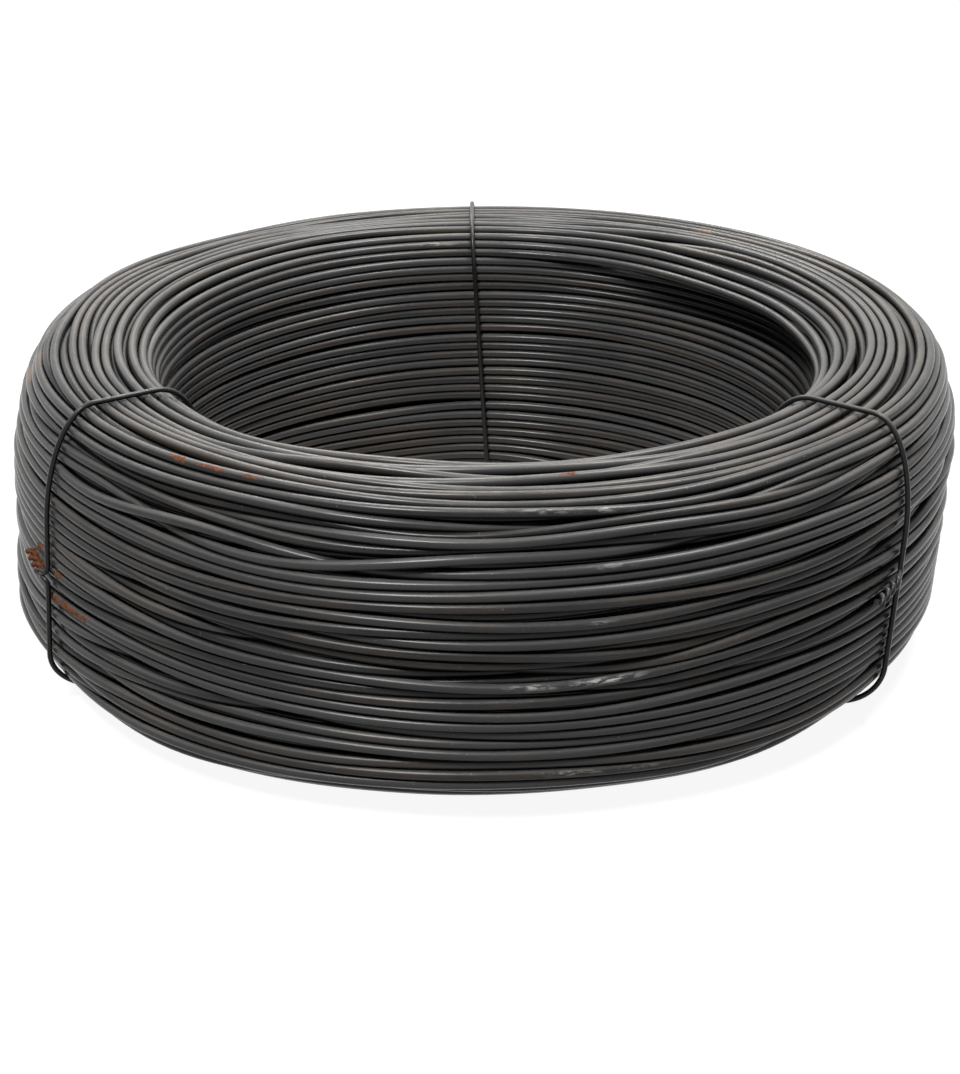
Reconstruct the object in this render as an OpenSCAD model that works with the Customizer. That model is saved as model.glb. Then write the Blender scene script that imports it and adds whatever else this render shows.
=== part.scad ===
// Coil of round steel wire lying flat, bound by three twisted tie wires.
// The turned coil stands on the ties' bottom strands; z = 0 is the ground, the eye runs along z.

/* [Coil] */
// Outside diameter over the proudest outer turns, mm
coil_od = 400; // [380:2:440]
// Diameter of the eye inside the proudest bore turns, mm
eye_d = 276; // [240:2:290]
// Height of the laid turns without the tie wires, mm
coil_h = 124; // [110:1:150]
// Diameter of the coiled wire, mm
wire_d = 4; // [3:0.1:5.5]

/* [Lay of the turns] */
// Spacing of neighbouring turns, in wire diameters
lay_pitch = 1.04; // [1:0.01:1.1]
// How far the most recessed turn lies behind the proudest, mm
lay_wander = 1.1; // [0:0.1:1.8]
// Height of the filling behind the turns above their centres, in wire diameters
valley_fill = 0.18; // [0.12:0.01:0.35]
// Radial reach of the rounding from outer wall to top, mm
outer_top_reach = 19; // [8:1:24]
// Drop of the rounding from top to outer wall, mm
outer_top_drop = 46; // [20:1:50]
// Radial reach of the rounding from bore to top, mm
inner_top_reach = 17; // [8:1:24]
// Drop of the rounding from top to bore, mm
inner_top_drop = 22; // [12:1:40]
// Radial reach of the rounding from outer wall to bottom, mm
outer_foot_reach = 38; // [24:1:42]
// Rise of the rounding from bottom to outer wall, mm
outer_foot_rise = 22; // [10:1:30]
// Radial reach of the rounding from bore to bottom, mm
inner_foot_reach = 9; // [8:1:20]
// Rise of the rounding from bottom to bore, mm
inner_foot_rise = 10; // [8:1:30]

/* [Tie wires] */
// Diameter of the tie wire, mm
tie_d = 2.2; // [1.6:0.1:3]
// Clearance between a tie and the proudest turns, mm
tie_gap = 0.25; // [0.15:0.05:0.5]
// Direction of the back tie around the eye, degrees
back_at = 90; // [80:1:100]
// Direction of the left tie around the eye, degrees
left_at = 212; // [200:1:225]
// Direction of the right tie around the eye, degrees
right_at = 324; // [312:1:336]
// Sideways travel of the back tie over the height of the coil, mm
back_lean = 15; // [-20:1:20]
// How far the right tie's lower outer bend stays out from the turns, mm
right_slack = 10; // [0:1:16]

/* [Twisted knots] */
// Length of a twisted pigtail, mm
knot_len = 14; // [8:1:20]
// Advance of one full twist, mm
knot_pitch = 7; // [6.5:0.1:10]
// Radius of the bend from strand to pigtail, mm
knot_bend = 2.6; // [2.4:0.1:4]
// Clearance between the two strands of a twist, mm
strand_gap = 0.2; // [0.1:0.05:0.4]
// Height of the back knot above the coil's foot, mm
back_knot = 58; // [44:1:66]
// Height of the left knot above the coil's foot, mm
left_knot = 56; // [44:1:66]
// Height of the right knot above the coil's foot, mm
right_knot = 62; // [44:1:66]
// Rise of the back pigtail per mm of its length
back_slope = 0.1; // [-0.6:0.05:0.6]
// Rise of the left pigtail per mm of its length
left_slope = 0.45; // [-0.6:0.05:0.6]
// Rise of the right pigtail per mm of its length
right_slope = -0.45; // [-0.6:0.05:0.6]

/* [Hidden] */
$fn = 48;
tie_sides = 10;
corner_steps = 7;
wire_r = wire_d / 2;
tie_r = tie_d / 2;
tie_flat = tie_r * cos(180 / tie_sides);
tie_off = tie_flat + tie_gap;
coil_z = tie_off + tie_flat;
top_z = coil_z + coil_h;
outer_r = coil_od / 2;
eye_r = eye_d / 2;
ring_w = outer_r - eye_r;
strand_r = tie_r + strand_gap / 2;
knot_off = strand_r + tie_r + tie_gap;
knot_reach = strand_r + knot_bend;
twist_start = 3;
slope_start = 3;
normal_probe = 0.5;
wander_turn = 137.5;
sweep_steps = 26;
bend_steps = 4;
// The outer roundings give way where the ring is too narrow or the knots sit too close to them.
top_reach = min(outer_top_reach, ring_w - inner_top_reach - wire_d);
top_drop = min(outer_top_drop, coil_h - max(back_knot, left_knot, right_knot) - knot_reach);
foot_reach = min(outer_foot_reach, ring_w - inner_foot_reach - wire_d);
foot_rise = min(outer_foot_rise, min(back_knot, left_knot, right_knot) - knot_reach);
steel = [0.17, 0.17, 0.175];
tie_steel = [0.25, 0.24, 0.235];

// Closed outline of the section in the r-z plane, moved out by off along its own normals,
// with its lower outer bend fuller by slack. Each entry is [point, outward normal];
// the order is over the top, down the bore and under.
function rounding(centre, reach, rise, from, off) = [
    for (k = [0 : corner_steps])
        let (q = from + 90 * k / corner_steps)
        let (side = [rise * cos(q), reach * sin(q)])
        let (out = side / norm(side))
        [centre + [reach * cos(q), rise * sin(q)] + off * out, out]
];

function outline(off, slack = 0) = concat(
    rounding([outer_r - top_reach, top_z - top_drop], top_reach, top_drop, 0, off),
    rounding([eye_r + inner_top_reach, top_z - inner_top_drop], inner_top_reach, inner_top_drop, 90, off),
    rounding([eye_r + inner_foot_reach, coil_z + inner_foot_rise], inner_foot_reach, inner_foot_rise, 180, off),
    rounding([outer_r - foot_reach + slack, coil_z + foot_rise], foot_reach - slack, foot_rise, 270, off)
);

// The turns' centres follow the outline at an even spacing, each a little recessed.
lay = [for (e = outline(-wire_r)) e[0]];
lay_count = len(lay);
lay_step = [for (i = [0 : lay_count - 1]) norm(lay[(i + 1) % lay_count] - lay[i])];
lay_run = [for (i = 0, s = 0; i <= lay_count; s = s + lay_step[i % lay_count], i = i + 1) s];
lay_long = lay_run[lay_count];
lay_r = [for (i = [0 : lay_count]) [lay_run[i], lay[i % lay_count][0]]];
lay_zs = [for (i = [0 : lay_count]) [lay_run[i], lay[i % lay_count][1]]];
turns = floor(lay_long / (lay_pitch * wire_d));

function on_lay(s) = let (w = (s + lay_long) % lay_long) [lookup(w, lay_r), lookup(w, lay_zs)];
function lay_out(s) =
    let (t = on_lay(s + normal_probe) - on_lay(s - normal_probe)) [t[1], -t[0]] / norm(t);
function recess(i) = lay_wander * (1 + sin(wander_turn * i)) / 2;
function turn_at(i) = let (s = lay_long * i / turns) on_lay(s) - recess(i) * lay_out(s);
function fill_at(i) = let (s = lay_long * i / turns) turn_at(i) + valley_fill * wire_d * lay_out(s);

module wire_coil() {
    color(steel)
        rotate_extrude($fn = 180)
            union() {
                polygon([for (i = [0 : turns - 1]) fill_at(i)]);
                for (i = [0 : turns - 1]) {
                    translate(turn_at(i)) circle(r = wire_r);
                }
            }
}

// A point at radius r, distance t round the wall and height z, in the frame of a tie at angle 0.
function round_by(r, t) = t / r * 180 / PI;
function wrapped(r, t, z) = [r * cos(round_by(r, t)), r * sin(round_by(r, t)), z];
function unit(v) = v / norm(v);
function across(n, t) = unit(n - (n * t) * t);
function carried(n, ts, i) =
    i == len(ts) ? [] : let (m = across(n, ts[i])) concat([m], carried(m, ts, i + 1));
function turned_round(list) = [for (i = [len(list) - 1 : -1 : 0]) list[i]];

// Twist angle reached at distance s along a pigtail; it sets in gently.
function twist(s) = 360 / knot_pitch * (s < twist_start ? s * s / (2 * twist_start) : s - twist_start / 2);

// One strand of a knot, from the wall to the pigtail's tip; up is 1 for the upper strand and -1 for the lower.
function strand(up, knot_z, slope) = concat(
    [
        for (k = [1 : bend_steps])
            let (q = 90 * k / bend_steps)
            wrapped(
                outer_r + tie_off + (knot_off - tie_off) * k / bend_steps,
                -knot_bend * (1 - cos(q)),
                knot_z + up * (strand_r + knot_bend * (1 - sin(q)))
            )
    ],
    [
        for (k = [1 : sweep_steps])
            let (s = knot_len * k / sweep_steps)
            wrapped(
                outer_r + knot_off + up * strand_r * sin(twist(s)),
                -knot_bend - s,
                knot_z + up * strand_r * cos(twist(s)) + slope * s * s / (s + slope_start)
            )
    ]
);

// One tie: its loop round the section leans by lean over the coil's height and passes through its knot.
module tie_wire(at, knot_h, slope, lean = 0, slack = 0) {
    knot_z = coil_z + knot_h;
    wall_r = outer_r + tie_off;
    upper = strand(1, knot_z, slope);
    lower = strand(-1, knot_z, slope);
    ring = concat(
        [[[wall_r, knot_z + knot_reach], [1, 0]]],
        outline(tie_off, slack),
        [[[wall_r, knot_z - knot_reach], [1, 0]]]
    );
    shift = [for (e = ring) lean * (e[0][1] - knot_z) / coil_h];
    turn = [for (i = [0 : len(ring) - 1]) round_by(ring[i][0][0], shift[i])];
    loop = [for (i = [0 : len(ring) - 1]) wrapped(ring[i][0][0], shift[i], ring[i][0][1])];
    loop_out = [
        for (i = [0 : len(ring) - 1])
            let (n = ring[i][1]) [n[0] * cos(turn[i]), n[0] * sin(turn[i]), n[1]]
    ];
    path = concat(turned_round(upper), loop, lower);
    last = len(path) - 1;
    along = [for (i = [0 : last]) unit(path[min(i + 1, last)] - path[max(i - 1, 0)])];
    first_loop = len(upper);
    after_loop = first_loop + len(loop);
    before = carried([1, 0, 0], [for (i = [first_loop - 1 : -1 : 0]) along[i]], 0);
    after = carried([1, 0, 0], [for (i = [after_loop : last]) along[i]], 0);
    within = [for (i = [0 : len(loop) - 1]) across(loop_out[i], along[first_loop + i])];
    out = concat(turned_round(before), within, after);
    points = [
        for (i = [0 : last])
            let (side = cross(along[i], out[i]))
            for (k = [0 : tie_sides - 1])
                let (q = 360 * (k + 0.5) / tie_sides)
                path[i] + tie_r * (cos(q) * out[i] + sin(q) * side)
    ];
    skin = [
        for (i = [0 : last - 1])
            for (k = [0 : tie_sides - 1])
                let (a = i * tie_sides + k)
                let (b = i * tie_sides + (k + 1) % tie_sides)
                for (face = [[a, a + tie_sides, b], [b, a + tie_sides, b + tie_sides]])
                    face
    ];
    caps = [
        [for (k = [0 : tie_sides - 1]) k],
        [for (k = [tie_sides - 1 : -1 : 0]) last * tie_sides + k]
    ];
    color(tie_steel)
        rotate([0, 0, at])
            polyhedron(points = points, faces = concat(skin, caps), convexity = 8);
}

module tie_back() {
    tie_wire(back_at, back_knot, back_slope, lean = back_lean);
}

module tie_left() {
    tie_wire(left_at, left_knot, left_slope);
}

module tie_right() {
    tie_wire(right_at, right_knot, right_slope, slack = right_slack);
}

wire_coil();
tie_back();
tie_left();
tie_right();
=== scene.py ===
"""Dresses a coil of dark steel wire that lies flat, bound across its ring by three twisted tie wires.

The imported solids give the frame. The turned coil is replaced by the wire turns that a real coil shows,
laid in layers, settled against each other and left a little untidy, and the plain ties by round wire.
"""

import logging
import math
from dataclasses import dataclass, replace
from enum import Enum

import bpy
import numpy as np
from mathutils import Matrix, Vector


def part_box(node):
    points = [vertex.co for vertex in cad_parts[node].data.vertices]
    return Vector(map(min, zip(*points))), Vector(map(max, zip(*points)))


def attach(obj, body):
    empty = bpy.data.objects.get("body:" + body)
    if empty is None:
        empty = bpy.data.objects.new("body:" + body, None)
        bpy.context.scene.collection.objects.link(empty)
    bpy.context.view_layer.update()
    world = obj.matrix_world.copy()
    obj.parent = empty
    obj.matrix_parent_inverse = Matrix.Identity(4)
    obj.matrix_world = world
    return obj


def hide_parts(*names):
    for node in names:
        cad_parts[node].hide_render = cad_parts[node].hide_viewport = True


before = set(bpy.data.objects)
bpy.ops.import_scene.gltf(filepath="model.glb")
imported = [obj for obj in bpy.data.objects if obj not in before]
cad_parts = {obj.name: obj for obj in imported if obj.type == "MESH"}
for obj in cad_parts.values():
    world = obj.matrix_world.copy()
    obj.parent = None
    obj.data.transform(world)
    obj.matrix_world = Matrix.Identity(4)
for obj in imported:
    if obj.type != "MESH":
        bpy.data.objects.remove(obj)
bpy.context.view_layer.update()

BODY = "root"
COIL_NODE = "wire_coil"
WIRE_MAP = "wire_uv"
MM = 0.001
TAU = 2.0 * math.pi
TINY = 1e-9
EYE_R = 138 * MM
FOOT_Z = 2.34 * MM
TOP_Z = 126.34 * MM
WIRE_D = 4 * MM
BACK_AT, LEFT_AT, RIGHT_AT = 90.0, 212.0, 324.0
TONE_SHIFT = 7.0
TONE_TO_HUE = 7.31
FACE_CORNERS = ((0, 0), (1, 0), (1, 1), (0, 1))
Colour = tuple[float, float, float, float]
Socket = bpy.types.NodeSocket

log = logging.getLogger("coil")


def hump(gap: np.ndarray, half: float) -> np.ndarray:
    """Gives a smooth hump of angles in degrees, 1 at no gap and 0 from half a width on."""
    gap = (gap + 180.0) % 360.0 - 180.0
    return np.where(np.abs(gap) < half, np.cos(np.radians(gap / half * 90.0)) ** 2, 0.0)


class Side(Enum):
    """The four sides of the ring's section, each shown by its own piece."""

    OUTER = "outer_turns"
    TOP = "top_turns"
    BORE = "bore_turns"
    FOOT = "foot_turns"


@dataclass(frozen=True)
class Rounding:
    """One rounded corner of the ring's section: how far it reaches along r and along z."""

    reach: float
    rise: float


@dataclass(frozen=True)
class Outline:
    """A closed line round the section, by the distance run along it."""

    run: np.ndarray
    points: np.ndarray
    normals: np.ndarray
    length: float

    def at(self, run: np.ndarray) -> tuple[np.ndarray, np.ndarray]:
        """Reads the line at given runs.

        Args:
            run: distances along the line; they wrap round.

        Returns:
            The points (r, z) and the outward normals there.
        """
        columns = [
            np.interp(run, self.run, values, period=self.length)
            for values in (*self.points.T, *self.normals.T)
        ]
        points = np.stack(columns[:2], axis=-1)
        normals = np.stack(columns[2:], axis=-1)
        return points, normals / np.linalg.norm(normals, axis=-1, keepdims=True)


@dataclass
class RingSection:
    """The section of the laid ring over its proudest turns, in the r-z plane."""

    outer_r: float
    eye_r: float
    foot_z: float
    top_z: float
    outer_top: Rounding = Rounding(19 * MM, 46 * MM)
    inner_top: Rounding = Rounding(17 * MM, 22 * MM)
    inner_foot: Rounding = Rounding(6 * MM, 6 * MM)
    outer_foot: Rounding = Rounding(38 * MM, 22 * MM)
    corner_steps: int = 24
    fold_slack: float = 0.25 * MM

    def corners(self) -> list[tuple[float, float, Rounding, float]]:
        """Lists the section's corners.

        Returns:
            Each corner's centre r and z, its rounding and the angle at which it starts.
        """
        top, foot = self.top_z, self.foot_z
        return [
            (self.outer_r - self.outer_top.reach, top - self.outer_top.rise, self.outer_top, 0.0),
            (self.eye_r + self.inner_top.reach, top - self.inner_top.rise, self.inner_top, 90.0),
            (self.eye_r + self.inner_foot.reach, foot + self.inner_foot.rise, self.inner_foot, 180.0),
            (self.outer_r - self.outer_foot.reach, foot + self.outer_foot.rise, self.outer_foot, 270.0),
        ]

    def outline(self, offset: float) -> Outline:
        """Walks over the top, down the bore, under and up the outer wall.

        Args:
            offset: distance outwards from the section, negative to go inside it.

        Returns:
            The closed outline; stretches that fold over themselves deep inside a corner are left out.
        """
        points, normals = [], []
        for centre_r, centre_z, corner, start in self.corners():
            for step in range(self.corner_steps + 1):
                angle = math.radians(start + 90.0 * step / self.corner_steps)
                turned = np.array([math.cos(angle), math.sin(angle)])
                normal = turned * (corner.rise, corner.reach)
                normal /= np.linalg.norm(normal)
                edge = np.array([centre_r, centre_z]) + turned * (corner.reach, corner.rise)
                points.append(edge + offset * normal)
                normals.append(normal)
        points, normals = np.array(points), np.array(normals)
        if offset < 0:
            kept = self.depth_field().value(points) > -offset - self.fold_slack
            points, normals = points[kept], normals[kept]
        steps = np.linalg.norm(np.roll(points, -1, axis=0) - points, axis=1)
        run = np.concatenate([[0.0], np.cumsum(steps)[:-1]])
        return Outline(run, points, normals, float(steps.sum()))

    def depth_field(self) -> "DepthField":
        """Works out the depth below the section's outline, once.

        Returns:
            The field.
        """
        if not hasattr(self, "_field"):
            self._field = DepthField.of(self.outline(0.0))
        return self._field


@dataclass(frozen=True)
class DepthField:
    """Depth inside the section on a fine grid, positive inside."""

    low: np.ndarray
    cell: float
    depth: np.ndarray

    @classmethod
    def of(
        cls, outline: Outline, cell: float = 0.5 * MM, margin: float = 12 * MM, edges: int = 700
    ) -> "DepthField":
        """Measures the grid.

        Args:
            outline: the section's edge.
            cell: grid spacing.
            margin: how far the grid goes past the edge.
            edges: straight stretches that the edge is measured by.

        Returns:
            The field.
        """
        low = outline.points.min(axis=0) - margin
        high = outline.points.max(axis=0) + margin
        counts = np.ceil((high - low) / cell).astype(int) + 1
        r, z = np.meshgrid(*[low[k] + cell * np.arange(counts[k]) for k in (0, 1)], indexing="ij")
        grid = np.stack([r, z], axis=-1).reshape(-1, 2)
        runs = np.linspace(0.0, outline.length, edges, endpoint=False)
        edge, _ = outline.at(runs)
        ahead = np.roll(edge, -1, axis=0)
        nearest = np.full(len(grid), np.inf)
        crossings = np.zeros(len(grid), dtype=int)
        for a, b in zip(edge, ahead):
            along = b - a
            share = np.clip(((grid - a) @ along) / (along @ along), 0.0, 1.0)
            nearest = np.minimum(nearest, np.linalg.norm(grid - a - share[:, None] * along, axis=1))
            spans = (a[1] > grid[:, 1]) != (b[1] > grid[:, 1])
            if along[1] != 0.0:
                crossings += spans & (grid[:, 0] < along[0] * (grid[:, 1] - a[1]) / along[1] + a[0])
        signed = np.where(crossings % 2 == 1, nearest, -nearest)
        return cls(low, cell, signed.reshape(counts))

    def value(self, points: np.ndarray) -> np.ndarray:
        """Reads the depth between grid points.

        Args:
            points: any array of r, z.

        Returns:
            The depths there.
        """
        place = (points - self.low) / self.cell
        base = np.clip(np.floor(place).astype(int), 0, np.array(self.depth.shape) - 2)
        part = place - base
        i, j = base[..., 0], base[..., 1]
        u, v = part[..., 0], part[..., 1]
        d = self.depth
        return (
            d[i, j] * (1 - u) * (1 - v)
            + d[i + 1, j] * u * (1 - v)
            + d[i, j + 1] * (1 - u) * v
            + d[i + 1, j + 1] * u * v
        )

    def inward(self, points: np.ndarray) -> np.ndarray:
        """Finds the direction in which the depth grows.

        Args:
            points: any array of r, z.

        Returns:
            Unit vectors.
        """
        step = np.array([self.cell, 0.0])
        slope_r = self.value(points + step) - self.value(points - step)
        slope_z = self.value(points + step[::-1]) - self.value(points - step[::-1])
        slope = np.stack([slope_r, slope_z], axis=-1)
        return slope / np.maximum(np.linalg.norm(slope, axis=-1, keepdims=True), TINY)


@dataclass(frozen=True)
class SideLay:
    """How neatly the turns of one side lie.

    The pitch is in wire diameters; drift and common drift run along the section's edge, the first for each
    turn by itself; sink goes inwards; strays is the share of turns that wander across their neighbours.
    """

    pitch: float
    drift: float
    common: float
    sink: float
    strays: float


SIDE_LAYS = {
    Side.OUTER: SideLay(pitch=1.16, drift=1.2 * MM, common=2.0 * MM, sink=2.0 * MM, strays=0.15),
    Side.TOP: SideLay(pitch=1.42, drift=1.3 * MM, common=2.0 * MM, sink=1.0 * MM, strays=0.16),
    Side.BORE: SideLay(pitch=1.11, drift=0.45 * MM, common=0.9 * MM, sink=0.4 * MM, strays=0.03),
    Side.FOOT: SideLay(pitch=1.10, drift=1.0 * MM, common=1.2 * MM, sink=0.6 * MM, strays=0.08),
}


@dataclass(frozen=True)
class LipShape:
    """The lip of the eye that leans over a recess on one side, where it lies, how far its turns move and how
    strongly shade is painted on the recessed wall.

    Angle and half width are in degrees. Depths count down from the section's top, widths out from the eye.
    """

    angle: float = 36.0
    half: float = 58.0
    # share of painted shade on the recessed wall turns under the lip
    shade: float = 0.9
    reach: float = 6.5 * MM
    depth: float = 13 * MM
    width: float = 17 * MM
    fan: float = 18 * MM
    recess: float = 14 * MM
    recess_drop: float = 5 * MM
    recess_end: float = 44 * MM
    recess_fade: float = 18 * MM
    recess_width: float = 22 * MM
    shelf_shift: float = 1.8 * MM
    shelf_end: float = 48 * MM
    shelf_fade: float = 24 * MM


@dataclass(frozen=True)
class Slump:
    """How the coil gives under its weight: the near edge of the eye heaves up, the foot squats and sags.

    A place round the ring is its middle angle and its half width, in degrees.
    """

    heave: float = 1.8 * MM
    heave_at: tuple[float, float] = (270.0, 62.0)
    heave_depth: float = 34 * MM
    heave_end: float = 48 * MM
    heave_fade: float = 32 * MM
    squat: float = 4.5 * MM
    squat_left: tuple[float, float] = (236.0, 27.0)
    squat_right: tuple[float, float] = (303.0, 21.0)
    right_share: float = 0.6
    squat_height: float = 45 * MM
    squat_full: float = 25 * MM
    squat_fade: float = 20 * MM
    sag: float = 2.0 * MM
    sag_height: float = 40 * MM
    sag_clear: float = 16.0
    floor_gap: float = 0.05 * MM


@dataclass
class TurnLay:
    """How the wire turns lie: places round the ring, settled so that they rest against each other.

    Pitches and the reaches of neighbours and air are in wire diameters, half widths and clearances of ties
    in degrees.
    """

    section: RingSection
    wire_d: float
    tie_angles: tuple[float, ...]
    lip: LipShape = LipShape()
    slump: Slump = Slump()
    stations: int = 180
    layers: int = 3
    layer_step: float = 0.84
    deep_pitch: float = 1.13
    pitch_spread: float = 0.09
    pitch_limits: tuple[float, float] = (0.85, 1.3)
    side_slope: float = 0.72
    seed: int = 3
    rounds: int = 110
    regroup: int = 12
    neighbour_reach: float = 1.35
    air_reach: float = 2.5
    push: float = 0.42
    early_pull: float = 0.05
    late_pull: float = 0.01
    late_from: float = 0.7
    swell: float = 1.3 * MM
    drift_modes: int = 6
    sink_modes: int = 5
    wave_fall: float = 0.6
    common_modes: int = 3
    common_length: tuple[float, float] = (60 * MM, 190 * MM)
    stray_reach: float = 9 * MM
    stray_share: tuple[float, float] = (0.45, 1.0)
    stray_half: tuple[float, float] = (28.0, 62.0)
    stray_lift: float = 0.55
    stray_clear: float = 24.0
    tie_calm: float = 0.45
    tie_half: float = 9.0
    bulge: float = 1.4 * MM
    bulge_clear: float = 30.0
    crossing: float = 0.6
    crossing_half: float = 24.0
    crossing_rounds: int = 2
    smooth_modes: int = 10
    last_mode: int = 20
    lean: float = 0.06

    def __post_init__(self) -> None:
        """Sets up the stations and the seeded draws."""
        self.rng = np.random.default_rng(self.seed)
        self.theta = TAU * np.arange(self.stations) / self.stations
        # no painted lip shade until part_lip sets it
        self.painted_lip_shade = 1.0

    def waves(self, count: int, modes: int) -> np.ndarray:
        """Draws smooth random lines that close after one turn.

        Args:
            count: how many lines.
            modes: the shortest wave, as waves per turn.

        Returns:
            An array of stations by lines, of about unit spread.
        """
        mode = np.arange(1, modes + 1)
        weight = mode**-self.wave_fall
        gain = self.rng.normal(size=(count, modes)) * weight
        phase = self.rng.uniform(0.0, TAU, size=(count, modes))
        waves = np.cos(self.theta[:, None, None] * mode + phase)
        return np.einsum("skm,km->sk", waves, gain) / math.sqrt(0.5 * float(np.sum(weight**2)))

    def side_of(self, normal: np.ndarray) -> Side:
        """Names the side of the section that a normal faces.

        Args:
            normal: the outward normal in r and z.

        Returns:
            The side.
        """
        if normal[1] > self.side_slope:
            return Side.TOP
        if normal[1] < -self.side_slope:
            return Side.FOOT
        return Side.OUTER if normal[0] > 0 else Side.BORE

    def starts(self, outline: Outline, layer: int) -> tuple[np.ndarray, list[Side]]:
        """Spaces the turns of one layer along its outline.

        Args:
            outline: the line through the layer's turn centres.
            layer: 0 for the turns that show, more for those behind them.

        Returns:
            The run of each turn and the side that it lies on.
        """
        runs, sides, run = [], [], 0.0
        while run < outline.length:
            _, normal = outline.at(np.array([run]))
            side = self.side_of(normal[0])
            runs.append(run)
            sides.append(side)
            pitch = SIDE_LAYS[side].pitch if layer == 0 else self.deep_pitch
            spread = float(np.clip(self.rng.normal(1.0, self.pitch_spread), *self.pitch_limits))
            run += self.wire_d * pitch * spread
        return np.array(runs) * outline.length / run, sides

    def near_ties(self, half_deg: float) -> np.ndarray:
        """Gives 1 at the ties' stations, fading to 0 over half_deg or so."""
        ties = np.radians(self.tie_angles)[:, None]
        gap = (self.theta - ties + math.pi) % TAU - math.pi
        return np.exp(-((gap / math.radians(half_deg)) ** 2)).max(axis=0)

    def aims(self) -> tuple[np.ndarray, np.ndarray, list[Side]]:
        """Works out where each turn would lie if no other were in its way.

        Returns:
            Aims (stations, turns, 2), the layer of each turn, and its side.
        """
        aims, layer_of, side_of = [], [], []
        calm = 1.0 - self.tie_calm * self.near_ties(self.tie_half)[:, None]
        clear = 1.0 - self.near_ties(self.stray_clear)[:, None]
        drift_waves = self.common_waves()
        swell_waves = self.common_waves()
        for layer in range(self.layers):
            depth = self.wire_d * (0.5 + self.layer_step * layer)
            outline = self.section.outline(-depth)
            runs, sides = self.starts(outline, layer)
            count = len(runs)
            lays = [SIDE_LAYS[side] for side in sides]
            shared = np.array([lay.common for lay in lays]) * self.common_field(runs, drift_waves) * calm
            swell = self.swell * self.common_field(runs, swell_waves) * calm
            own = np.array([lay.drift for lay in lays]) * self.waves(count, self.drift_modes) * calm
            sink = np.array([lay.sink for lay in lays]) * self.waves(count, self.sink_modes) * calm
            stray = self.strays(lays) * clear
            points, normals = outline.at(runs[None] + shared + own + stray)
            lift = np.minimum(np.abs(stray) / self.stray_reach, 1.0) * self.stray_lift * self.wire_d
            aims.append(points + (swell + lift - sink)[..., None] * normals)
            layer_of += [layer] * count
            side_of += sides
        return np.concatenate(aims, axis=1), np.array(layer_of), side_of

    def common_waves(self, count: int = 9) -> list[tuple[int, float, float]]:
        """Draws waves that neighbouring turns share.

        Args:
            count: how many waves.

        Returns:
            For each, waves per turn, length across the turns and phase.
        """
        modes = self.rng.integers(1, self.common_modes + 1, count)
        lengths = self.rng.uniform(*self.common_length, count)
        return list(zip(modes, lengths, self.rng.uniform(0, TAU, count)))

    def common_field(self, runs: np.ndarray, waves: list[tuple[int, float, float]]) -> np.ndarray:
        """Adds the shared waves up at each station and run, to about unit spread."""
        total = sum(np.cos(m * self.theta[:, None] + TAU * runs[None] / w + p) for m, w, p in waves)
        return total / math.sqrt(0.5 * len(waves))

    def strays(self, lays: list[SideLay]) -> np.ndarray:
        """Lets some turns wander across their neighbours for part of the way round.

        Args:
            lays: the lay of each turn of the layer.

        Returns:
            Extra drift along the outline, stations by turns.
        """
        drift = np.zeros((self.stations, len(lays)))
        for turn in np.flatnonzero(self.rng.random(len(lays)) < [lay.strays for lay in lays]):
            middle = self.rng.uniform(0, TAU)
            half = math.radians(self.rng.uniform(*self.stray_half))
            gap = (self.theta - middle + math.pi) % TAU - math.pi
            reach = self.rng.choice([-1.0, 1.0]) * self.rng.uniform(*self.stray_share) * self.stray_reach
            drift[:, turn] = reach * np.where(np.abs(gap) < half, np.cos(gap / half * math.pi / 2) ** 2, 0.0)
        return drift

    def settled(self) -> tuple[np.ndarray, np.ndarray, list[Side]]:
        """Pushes touching turns apart, round after round, while each keeps near its aim.

        Returns:
            Places (stations, turns, 2), the layer of each turn, and its side.
        """
        aims, layer_of, side_of = self.aims()
        places = aims.copy()
        depth = self.section.depth_field()
        least = 0.5 * self.wire_d - self.bulge * (1.0 - self.near_ties(self.bulge_clear))
        for step in range(self.rounds):
            if step % self.regroup == 0:
                first, second, spread = self.neighbours(places)
            gap = places[:, first] - places[:, second]
            far = np.maximum(np.linalg.norm(gap, axis=2, keepdims=True), TINY)
            push = np.maximum(self.wire_d - far, 0.0) * gap / far * self.push
            places += np.swapaxes(np.tensordot(push, spread, axes=(1, 0)), 1, 2)
            pull = self.early_pull if step < self.late_from * self.rounds else self.late_pull
            places += pull * (aims - places)
            short = np.maximum(least[:, None] - depth.value(places), 0.0)
            places += short[..., None] * depth.inward(places)
            places = self.eased(places)
        for _ in range(self.crossing_rounds):
            self.ride_over(places, layer_of)
        self.part_lip(places)
        self.lift_near_edge(places)
        self.spread_foot(places)
        self.sag(places)
        return places, layer_of, side_of

    def ride_over(self, places: np.ndarray, layer_of: np.ndarray) -> None:
        """Lets one of two showing turns that still cross ride over the other.

        Args:
            places: the turns' places, changed in place.
            layer_of: the layer of each turn.
        """
        depth = self.section.depth_field()
        first, second, _ = self.neighbours(places)
        far = np.linalg.norm(places[:, first] - places[:, second], axis=2)
        showing = layer_of[first] + layer_of[second] == 0
        crossing = showing & (far.min(axis=0) < self.crossing * self.wire_d)
        for pair in np.flatnonzero(crossing):
            station = int(far[:, pair].argmin())
            turns = np.array([first[pair], second[pair]])
            upper, lower = turns[np.argsort(depth.value(places[station, turns]))]
            apart = math.sqrt(self.wire_d**2 - float(far[station, pair]) ** 2)
            rise = apart * self.window(math.degrees(self.theta[station]), self.crossing_half)[:, None]
            at_foot = max(float(depth.inward(places[station, upper])[1]), 0.0)
            outwards = 0.5 * (1.0 - at_foot)
            places[:, upper] -= outwards * rise * depth.inward(places[:, upper])
            places[:, lower] += (1.0 - outwards) * rise * depth.inward(places[:, lower])

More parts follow.
